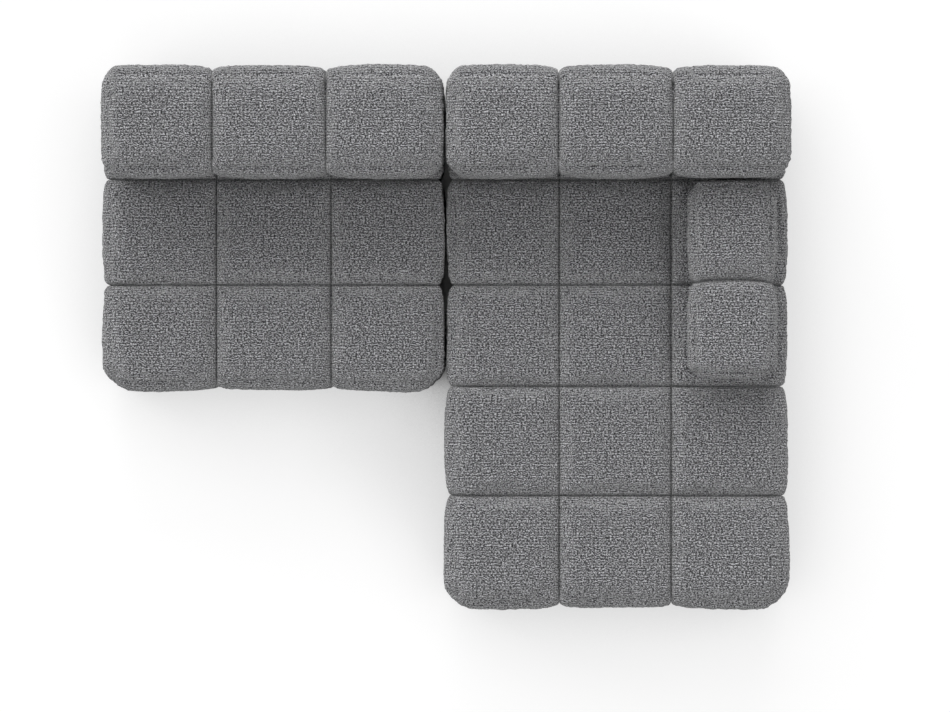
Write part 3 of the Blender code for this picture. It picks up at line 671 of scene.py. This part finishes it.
def quilted(points, x_edges, y_edges, low_z, high_z, reach, drop, lower_drop, roll):
    """Turns a box's points into a puffed cover.

    The box's edges become elliptical roundings: reach across and drop down. Each point then sinks along
    its own outward direction: by the crown times what its block's dome lacks there, and by the tuft's
    depth times its nearness to a seam. Both are less on the sides than on top. The base stays flat, and
    the walls of a bolster, which has a drop below, stay upright down to it.
    Gives the points and their outward directions.
    """
    low = np.array([x_edges[0] + reach, y_edges[0] + reach, low_z + lower_drop])
    high = np.array([x_edges[-1] - reach, y_edges[-1] - reach, high_z - drop])
    nearest = np.clip(points, low, high)
    radii = np.full(points.shape, reach)
    radii[:, 2] = np.where(points[:, 2] < nearest[:, 2], lower_drop, drop)
    offset = (points - nearest) / radii
    length = np.linalg.norm(offset, axis=1, keepdims=True)
    widest = np.abs(offset).max(axis=1, keepdims=True)
    rounded = nearest + offset * radii * widest / length
    outward = offset / radii
    outward /= np.linalg.norm(outward, axis=1, keepdims=True)

    across_x = place_in_block(points[:, 0], x_edges)
    across_y = place_in_block(points[:, 1], y_edges)
    up = place_in_block(points[:, 2], np.array([low_z, high_z]))
    if lower_drop:
        up = np.maximum(up, 0)
    dome_x, dome_y, dome_z = 1 - across_x**2, 1 - across_y**2, 1 - up**WALL_FLATNESS
    facing = outward**2
    fall = facing[:, 0] * (1 - dome_y * dome_z) + facing[:, 1] * (1 - dome_x * dome_z)
    fall += facing[:, 2] * (1 - dome_x * dome_y)
    seam_x, seam_y = near_seam(points[:, 0], x_edges), near_seam(points[:, 1], y_edges)
    seam = seam_x + seam_y - seam_x * seam_y
    depth = SIDE_TUFT_DEPTH + (TUFT_DEPTH - SIDE_TUFT_DEPTH) * facing[:, 2]
    whole_y = place_in_block(points[:, 1], y_edges[[0, -1]])
    crown = SIDE_CROWN + (TOP_CROWN - SIDE_CROWN) * facing[:, 2]
    sink = crown * fall + depth * seam + CROSSING_PINCH * seam_x * seam_y * facing[:, 2]
    sink += roll * facing[:, 2] * whole_y**2
    sink *= 1 - np.clip(-outward[:, 2], 0, 1)
    return rounded - outward * sink[:, None], outward


def lumps(points, size, seed):
    """Smooth noise from -1 to 1: random numbers on a lattice, blended by smoothstep between corners."""
    table = np.random.default_rng(seed).uniform(-1, 1, (LUMP_TABLE, LUMP_TABLE, LUMP_TABLE))
    place = points / size
    cell = np.floor(place).astype(int)
    part = place - cell
    part = part * part * (3 - 2 * part)
    total = np.zeros(len(points))
    for corner in np.ndindex(2, 2, 2):
        x, y, z = ((cell + corner) % LUMP_TABLE).T
        total += np.where(corner, part, 1 - part).prod(axis=1) * table[x, y, z]
    return total


def eased(values, limit):
    """Values that near a limit from below are eased towards it along a hyperbolic tangent."""
    start = limit - EASING
    over = np.maximum(values - start, 0)
    return np.minimum(values, start) + EASING * np.tanh(over / EASING)


def moved_walls(points, flat, x_edges, y_edges, rising, walls):
    """Moves walls outwards by a distance for each block, read off straight lines between their middles.

    The share of it that a point takes is a high power of its way from the middle to the wall, times
    the rising share given for its height.
    """
    for wall, distances in walls.items():
        axis, sign = {"left": (0, -1), "right": (0, 1), "front": (1, -1), "rear": (1, 1)}[wall]
        across, along = ((x_edges, y_edges), (y_edges, x_edges))[axis]
        toward = np.clip(sign * place_in_block(flat[:, axis], across[[0, -1]]), 0, 1) ** WALL_FLATNESS
        distance = np.interp(flat[:, 1 - axis], (along[:-1] + along[1:]) / 2, distances)
        points[:, axis] += sign * distance * toward * rising


def read_points(mesh):
    """A mesh's points as an array."""
    flat = np.empty(len(mesh.vertices) * 3, np.float32)
    mesh.vertices.foreach_get("co", flat)
    return flat.reshape(-1, 3).astype(float)


def puffed(piece, pinned):
    """Blows the cover up a little as cloth under pressure, with its seams and rims held."""
    held = piece.vertex_groups.new(name="held")
    held.add(np.flatnonzero(pinned).tolist(), 1.0, "REPLACE")
    cloth_step = piece.modifiers.new("cloth", "CLOTH")
    how = cloth_step.settings
    how.quality = CLOTH_QUALITY
    how.mass = CLOTH_POINT_MASS
    how.tension_stiffness = how.compression_stiffness = how.shear_stiffness = CLOTH_STIFFNESS
    how.bending_stiffness = CLOTH_BENDING
    how.use_pressure = True
    how.uniform_pressure_force = CLOTH_PRESSURE
    how.shrink_min = -CLOTH_FULLNESS
    how.vertex_group_mass = held.name
    how.effector_weights.gravity = 0
    cloth_step.point_cache.frame_start = 1
    cloth_step.point_cache.frame_end = PUFF_FRAMES
    scene = bpy.context.scene
    for number in range(1, PUFF_FRAMES + 1):
        scene.frame_set(number)
    result = read_points(piece.evaluated_get(bpy.context.evaluated_depsgraph_get()).data)
    piece.modifiers.remove(cloth_step)
    piece.vertex_groups.remove(held)
    scene.frame_set(1)
    return result


def kept_in_room(rest, blown, flat, x_edges, y_edges, cover_low, cover_high, high_z):
    """The blown-up points, with their way capped, least at the seams, and eased short of the CAD's box.

    The cap goes from its seam value to its full one as the square of the way across the shoulder.
    """
    way = blown - rest
    to_x = np.abs(flat[:, :1] - x_edges[None, :]).min(axis=1)
    to_y = np.abs(flat[:, 1:2] - y_edges[None, :]).min(axis=1)
    free = np.clip(np.minimum(to_x, to_y) / SHOULDER_WIDTH, 0, 1)
    cap = SEAM_CAP + (PUFF_CAP - SEAM_CAP) * free**2
    length = np.linalg.norm(way, axis=1)
    way *= (np.minimum(length, cap) / np.maximum(length, HAIR))[:, None]
    shaped = rest + way
    for axis in (0, 1):
        shaped[:, axis] = eased(shaped[:, axis], cover_high[axis])
        shaped[:, axis] = -eased(-shaped[:, axis], -cover_low[axis])
    shaped[:, 2] = eased(shaped[:, 2], high_z)
    return shaped


def run_length(points, form):
    """The length run along the cover's surface at each of a line of points."""
    shaped, _ = quilted(points, *form)
    return np.concatenate([[0], np.cumsum(np.linalg.norm(np.diff(shaped, axis=0), axis=1))])


def cloth_coordinates(xs, ys, zs, i, j, k, side, form):
    """The cloth's own coordinates: lengths along the surface, over the top and on down the walls."""
    x_edges, y_edges, _, high_z = form[:4]
    block_x, block_y = x_edges[:2].mean(), y_edges[:2].mean()
    line_x = np.stack([xs, np.full(len(xs), block_y), np.full(len(xs), high_z)], axis=1)
    line_y = np.stack([np.full(len(ys), block_x), ys, np.full(len(ys), high_z)], axis=1)
    line_z = np.stack([np.full(len(zs), block_x), np.full(len(zs), ys[0]), zs], axis=1)
    over_x, over_y, down = run_length(line_x, form), run_length(line_y, form), run_length(line_z, form)
    down = down[-1] - down
    u, v = over_x[i], over_y[j]
    u = np.where((side == "left")[:, None], -down[k], u)
    u = np.where((side == "right")[:, None], over_x[-1] + down[k], u)
    v = np.where((side == "front")[:, None], -down[k], v)
    v = np.where((side == "rear")[:, None], over_y[-1] + down[k], v)
    return np.stack([u, v], axis=-1)


def on_rims(flat, holes, low_z, high_z):
    """Which points lie on the rim of an opening."""
    found = np.zeros(len(flat), bool)
    for where, x0, y0, x1, y1 in holes:
        level = flat[:, 2] > high_z - TOUCHING if where == "top" else flat[:, 2] < low_z + TOUCHING
        near = (flat[:, 0] > x0 - TOUCHING) & (flat[:, 0] < x1 + TOUCHING)
        near &= (flat[:, 1] > y0 - TOUCHING) & (flat[:, 1] < y1 + TOUCHING)
        found |= level & near
    return found


def made_finer(piece, seam_points, free):
    """Halves the piece's lattice by subdivision, with its seams kept sharp. Gives the finer mesh."""
    mesh = piece.data
    ends = np.empty(len(mesh.edges) * 2, int)
    mesh.edges.foreach_get("vertices", ends)
    seam_edges = seam_points[ends.reshape(-1, 2)].all(axis=1)
    crease = mesh.attributes.new("crease_edge", "FLOAT", "EDGE")
    crease.data.foreach_set("value", seam_edges.astype(np.float32))
    mesh.attributes.new("free", "FLOAT", "POINT").data.foreach_set("value", free.astype(np.float32))
    finer = piece.modifiers.new("finer", "SUBSURF")
    finer.levels = finer.render_levels = 1
    fine_mesh = bpy.data.meshes.new_from_object(piece.evaluated_get(bpy.context.evaluated_depsgraph_get()))
    piece.modifiers.remove(finer)
    piece.data = fine_mesh
    bpy.data.meshes.remove(mesh)
    fine_mesh.name = piece.name
    return fine_mesh


def made_lumpy(mesh, low_z, seed):
    """Moves each point along its normal by slow lumps, and by fine ones that fade towards the seams."""
    points = read_points(mesh)
    normals = np.empty(len(points) * 3, np.float32)
    mesh.vertex_normals.foreach_get("vector", normals)
    free = np.empty(len(points), np.float32)
    mesh.attributes["free"].data.foreach_get("value", free)
    calm = np.clip(free / CALM_WIDTH, 0, 1)
    swell = SLOW_LUMP * lumps(points, SLOW_LUMP_SIZE, seed)
    swell += FINE_LUMP * calm * lumps(points, FINE_LUMP_SIZE, seed + 1)
    points += normals.reshape(-1, 3) * swell[:, None]
    points[:, 2] = np.maximum(points[:, 2], low_z)
    mesh.vertices.foreach_set("co", points.astype(np.float32).ravel())


def open_rims(shape):
    """The open rims of a mesh, each as a list of edges, in the same order on every run."""
    left = dict.fromkeys(edge for edge in shape.edges if edge.is_boundary)
    rims = []
    while left:
        rim, front = [], [left.popitem()[0]]
        while front:
            edge = front.pop()
            rim.append(edge)
            near = [other for corner in edge.verts for other in corner.link_edges if other in left]
            for other in dict.fromkeys(near):
                del left[other]
                front.append(other)
        rims.append(rim)
    return rims


def carried(shape, rim, place):
    """Draws a rim out to new places with a wall between, and gives the new rim's edges.

    The cloth's coordinates go on over each wall, square to the rim, by the wall's own width.
    """
    drawn = bmesh.ops.extrude_edge_only(shape, edges=rim)["geom"]
    corners = {part for part in drawn if isinstance(part, bmesh.types.BMVert)}
    edges = [part for part in drawn if isinstance(part, bmesh.types.BMEdge)]
    for corner in corners:
        corner.co = place(corner.co)
    layer = shape.loops.layers.uv["cloth"]
    for edge in edges:
        ends = [loop for loop in edge.link_faces[0].loops if loop.vert in corners]
        starts = []
        for loop in ends:
            joined = loop.link_loop_next.vert in corners
            starts.append(loop.link_loop_prev if joined else loop.link_loop_next)
        along = starts[1][layer].uv - starts[0][layer].uv
        square = Vector((-along.y, along.x)).normalized()
        for end, start in zip(ends, starts):
            end[layer].uv = start[layer].uv + square * (end.vert.co - start.vert.co).length
    return edges


def closed_up(mesh, cavity_low, cavity_high, base_z):
    """Turns the cover's open rims in: a flange and a cavity at its base, and a pocket at each slit."""

    def level_with(z):
        return lambda at: Vector((at.x, at.y, z))

    def cavity_edge(at):
        x, y = np.clip((at.x, at.y), cavity_low[:2], cavity_high[:2])
        return Vector((x, y, base_z))

    shape = bmesh.new()
    shape.from_mesh(mesh)
    for rim in open_rims(shape):
        heights = np.array([corner.co.z for edge in rim for corner in edge.verts])
        if heights.mean() < cavity_high[2]:
            rim = carried(shape, rim, cavity_edge)
            rim = carried(shape, rim, level_with(cavity_high[2]))
        else:
            rim = carried(shape, rim, level_with(heights.min() - SLIT_DEPTH))
        bmesh.ops.edgeloop_fill(shape, edges=rim)
    bmesh.ops.remove_doubles(shape, verts=shape.verts, dist=TOUCHING)
    bmesh.ops.recalc_face_normals(shape, faces=shape.faces)
    shape.to_mesh(mesh)
    shape.free()


def block_edges(low, high, sizes):
    """The edges of a row of blocks, fitted between two ends."""
    return low + (high - low) * np.concatenate([[0], np.cumsum(sizes)]) / np.sum(sizes)


def tufted_cover(prefix, body, columns, rows, reach, drop, lower_drop, roll, seed, walls, slits=(), bow=0):
    """The tufted cover of a seat or bolster, in place of its CAD cover.

    A box's lattice is cut out at the openings, quilted, blown up by simulation, given its seam folds,
    moved walls and bow, made finer and lumpy, and closed inside.
    """
    node = f"{prefix}_cover"
    cover_low, cover_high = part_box(node)
    x_edges = block_edges(cover_low[0], cover_high[0], columns)
    y_edges = block_edges(cover_low[1], cover_high[1], rows)
    low_z, high_z = cover_low[2], cover_high[2] - TOP_ROOM
    form = (x_edges, y_edges, low_z, high_z, reach, drop, lower_drop, roll)
    core_low, core_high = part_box(f"{prefix}_foam")
    cavity_low, cavity_high = np.array(core_low) - CORE_CLEARANCE, np.array(core_high) + CORE_CLEARANCE

    # An opening is its side and its low and high corner in plan
    holes = []
    for prong in slits:
        slit_low, slit_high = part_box(prong)
        low, high = np.array(slit_low) - SLIT_MARGIN, np.array(slit_high) + SLIT_MARGIN
        holes.append(("top", *low[:2], *high[:2]))
    if lower_drop:
        holes.append(("base", *cavity_low[:2], *cavity_high[:2]))
    xs = block_lines(x_edges, [x for hole in holes for x in (hole[1], hole[3])])
    ys = block_lines(y_edges, [y for hole in holes for y in (hole[2], hole[4])])
    zs = np.linspace(low_z, high_z, round((high_z - low_z) / LATTICE) + 1)
    count = (len(xs), len(ys), len(zs))
    quads, side = lattice(count, with_base=bool(lower_drop))
    i, j, k = np.unravel_index(quads, count)
    middle_x, middle_y = xs[i].mean(axis=1), ys[j].mean(axis=1)
    kept = np.ones(len(quads), bool)
    for where, x0, y0, x1, y1 in holes:
        kept &= ~((side == where) & (x0 < middle_x) & (middle_x < x1) & (y0 < middle_y) & (middle_y < y1))
    quads, side, i, j, k = quads[kept], side[kept], i[kept], j[kept], k[kept]
    used, corner = np.unique(quads, return_inverse=True)
    line_x, line_y, line_z = np.unravel_index(used, count)
    flat = np.stack([xs[line_x], ys[line_y], zs[line_z]], axis=1)
    rest, outward = quilted(flat, *form)

    mesh = bpy.data.meshes.new(f"{prefix}_upholstery")
    mesh.from_pydata(rest.tolist(), [], corner.reshape(-1, 4).tolist())
    coordinates = cloth_coordinates(xs, ys, zs, i, j, k, side, form)
    mesh.uv_layers.new(name="cloth").data.foreach_set("uv", coordinates.ravel())
    mesh.shade_smooth()
    piece = add_piece(mesh.name, mesh, cloth, body, "cloth", node)

    on_seam = np.isin(line_x, np.searchsorted(xs, x_edges[1:-1] - HAIR))
    on_seam |= np.isin(line_y, np.searchsorted(ys, y_edges[1:-1] - HAIR))
    on_rim = on_rims(flat, holes, low_z, high_z)
    on_base = flat[:, 2] < low_z + TOUCHING
    shaped = rest
    blown = puffed(piece, on_seam | on_rim | on_base)
    shaped = kept_in_room(rest, blown, flat, x_edges, y_edges, cover_low, cover_high, high_z)
    fold = SIDE_FOLD + (SEAM_FOLD - SIDE_FOLD) * outward[:, 2:] ** 2
    shaped = shaped - outward * fold * (on_seam & ~on_rim)[:, None]
    # A seat's walls keep their place at the base, and a bolster's move down to it
    rising = np.ones(len(flat)) if lower_drop else np.clip((flat[:, 2] - low_z) / WALL_FOOT, 0, 1)
    moved_walls(shaped, flat, x_edges, y_edges, rising, walls)
    if bow:
        toward = np.exp(-(((flat[:, 1] - y_edges[1]) / BOW_WIDTH) ** 2))
        shaped[:, 1] += bow * toward * (1 - place_in_block(flat[:, 0], x_edges) ** 2)
    mesh.vertices.foreach_set("co", shaped.astype(np.float32).ravel())

    free = np.minimum(from_seam(flat[:, 0], x_edges), from_seam(flat[:, 1], y_edges))
    fine_mesh = made_finer(piece, on_seam, free)
    made_lumpy(fine_mesh, low_z, seed)
    closed_up(fine_mesh, cavity_low, cavity_high, low_z)


CHAISE_COLUMNS = (0.3435, 0.3410, 0.3555)
CHAISE_ROWS = (0.344, 0.333, 0.308, 0.322, 0.335)
tufted_cover(
    "chaise_seat",
    "chaise",
    CHAISE_COLUMNS,
    CHAISE_ROWS,
    SEAT_REACH,
    SEAT_DROP,
    lower_drop=0,
    roll=0,
    seed=11,
    walls={
        "left": (0.010, 0.006, 0, 0, 0),
        "right": (0.007, 0.001, 0, 0, 0),
        "front": (0.006, -0.002, 0.006),
    },
    slits=["chaise_back_prong_left", "chaise_back_prong_right", "arm_prong_front", "arm_prong_rear"],
)
LOVESEAT_COLUMNS = (0.3435, 0.3495, 0.3465)
LOVESEAT_ROWS = (0.328, 0.322, 0.335)
tufted_cover(
    "loveseat_seat",
    "loveseat",
    LOVESEAT_COLUMNS,
    LOVESEAT_ROWS,
    SEAT_REACH,
    SEAT_DROP,
    lower_drop=0,
    roll=0,
    seed=21,
    walls={"front": (-0.004, -0.010, -0.003), "left": (0.007, 0.007, 0.007)},
    slits=["loveseat_back_prong_left", "loveseat_back_prong_right"],
)


# Back bolsters
# Two long cushions of three blocks stand on the rear row of the seats. The same cloth wraps foam and
# board and is stapled under the board. Their tops roll down to the front and the rear.
BACK_REACH = 0.052
BACK_DROP = 0.062
BOLSTER_LOWER_DROP = 0.004
BACK_ROLL = 0.022
BACK_ROW = (0.335,)
BACKS = {
    "chaise_back": ((0.3405, 0.3440, 0.3555), 31, {"rear": (0.005, 0.005, 0.002)}),
    "loveseat_back": ((0.3435, 0.3415, 0.3545), 41, {"left": (-0.008,), "rear": (0.004, 0.004, 0.004)}),
}
back_form = (BACK_REACH, BACK_DROP, BOLSTER_LOWER_DROP, BACK_ROLL)
for prefix, (columns, seed, walls) in BACKS.items():
    tufted_cover(prefix, prefix, columns, BACK_ROW, *back_form, seed, walls)


# Arm bolster
# A low cushion of two blocks stands on the chaise's right column, against the front of the back. It is
# made as the backs are, and its seam bows a little to the rear.
ARM_REACH = 0.052
ARM_BLOCKS = (0.307, 0.311)
ARM_SEAM_BOW = 0.009
ARM_WALLS = {"front": (-0.0190,), "left": (-0.003, -0.003), "right": (-0.003, -0.006)}
arm_form = (ARM_REACH, SEAT_DROP, BOLSTER_LOWER_DROP, 0)
tufted_cover("arm", "arm", (1,), ARM_BLOCKS, *arm_form, 51, ARM_WALLS, bow=ARM_SEAM_BOW)


# Studio
# A white floor, a dim even surround and soft lamps: two low ones at the rear that rake over the cloth,
# three high ones, and two weak low ones at the front. The camera is straight above the sofa.
FLOOR_SIZE = 60.0
FLOOR_COLOUR = (0.50, 0.50, 0.50, 1)
FLOOR_SEEN_COLOUR = (0.30, 0.30, 0.30, 1)
FLOOR_GLOW = 0.75
OPEN_REACH = 0.5
OPEN_SAMPLES = 8
# Openness ranges over which the floor's glow fades: painted shade near the sofa and in the narrow gaps
# under and between its parts
GAP_PAINTED_SHADE_SPAN = (0.10, 0.35)
SHADE_SPAN = (0.45, 0.80)
SHADE_GLOW_SHARE = 0.77
SURROUND_LIGHT = 0.26
LAMP_WIDTH = radians(38)
# Each lamp's azimuth and height in degrees, and its strength
LAMPS = (
    (90, 25, 1.05),
    (135, 25, 0.90),
    (180, 65, 0.62),
    (100, 45, 0.46),
    (0, 65, 0.36),
    (315, 25, 0.40),
    (265, 12, 0.30),
)
CAMERA_HEIGHT = 20.43
CAMERA_FOOT = (0.257, -0.033)
CAMERA_SIGHT = 100
FRAME_MIDDLE = (0.0897, -0.0517, 0.43)
LENS = 249.3


def seen_directly(tree):
    """1 for rays from the camera, from gloss or through glass, and 0 for light on the object."""
    path = put(tree, "ShaderNodeLightPath").outputs
    seen = maths(tree, "MAXIMUM", path["Is Camera Ray"], path["Is Glossy Ray"])
    return maths(tree, "MAXIMUM", seen, path["Is Transmission Ray"])


half = FLOOR_SIZE / 2
floor_corners = [(-half, -half, 0), (half, -half, 0), (half, half, 0), (-half, half, 0)]
floor_mesh = bpy.data.meshes.new("floor")
floor_mesh.from_pydata(floor_corners, [], [(0, 1, 2, 3)])
floor = bpy.data.objects.new("floor", floor_mesh)
bpy.context.collection.objects.link(floor)
floor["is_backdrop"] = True
floor_finish, tree, shader, place = new_material("white_floor", 1.0)
floor_mesh.materials.append(floor_finish)
seen = seen_directly(tree)
coloured(tree, shader, seen, FLOOR_COLOUR, FLOOR_SEEN_COLOUR)
shader.inputs["Specular IOR Level"].default_value = 0.0
shader.inputs["Emission Color"].default_value = (1, 1, 1, 1)
# The floor's glow fades with its openness. This is painted shade that deepens the shadow round the sofa and
# puts the glow out in the narrow gaps between the modules.
open_node = put(tree, "ShaderNodeAmbientOcclusion", {"Distance": OPEN_REACH}, samples=OPEN_SAMPLES)
openness = open_node.outputs["AO"]
gap_painted_shade = ranged(tree, openness, *GAP_PAINTED_SHADE_SPAN)
shade = ranged(tree, openness, *SHADE_SPAN, SHADE_GLOW_SHARE, 1.0)
glow = maths(tree, "MULTIPLY", maths(tree, "MULTIPLY", gap_painted_shade, shade), FLOOR_GLOW)
tree.links.new(maths(tree, "MULTIPLY", seen, glow), shader.inputs["Emission Strength"])

scene = bpy.context.scene
scene.world = bpy.data.worlds.new("surround")
scene.world.use_nodes = True
tree = scene.world.node_tree
background = tree.nodes["Background"]
background.inputs["Color"].default_value = (1, 1, 1, 1)
strength = ranged(tree, seen_directly(tree), 0, 1, SURROUND_LIGHT, 1.0)
tree.links.new(strength, background.inputs["Strength"])

for number, (azimuth, height, energy) in enumerate(LAMPS, 1):
    lamp = bpy.data.objects.new(f"lamp_{number}", bpy.data.lights.new(f"lamp_{number}", "SUN"))
    lamp.data.energy = energy
    lamp.data.angle = LAMP_WIDTH
    flat_share = cos(radians(height))
    x, y = cos(radians(azimuth)) * flat_share, sin(radians(azimuth)) * flat_share
    lamp.rotation_euler = Vector((x, y, sin(radians(height)))).to_track_quat("Z", "Y").to_euler()
    bpy.context.collection.objects.link(lamp)

camera = bpy.data.objects.new("camera", bpy.data.cameras.new("camera"))
bpy.context.collection.objects.link(camera)
camera.data.lens = LENS
camera.data.clip_end = CAMERA_SIGHT
eye = Vector((*CAMERA_FOOT, CAMERA_HEIGHT))
back = (eye - Vector(FRAME_MIDDLE)).normalized()
right = Vector((0, 1, 0)).cross(back).normalized()
facing = Matrix((right, back.cross(right), back)).transposed()
camera.matrix_world = Matrix.Translation(eye) @ facing.to_4x4()
scene.camera = camera
scene.view_settings.view_transform = "Standard"

low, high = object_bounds()
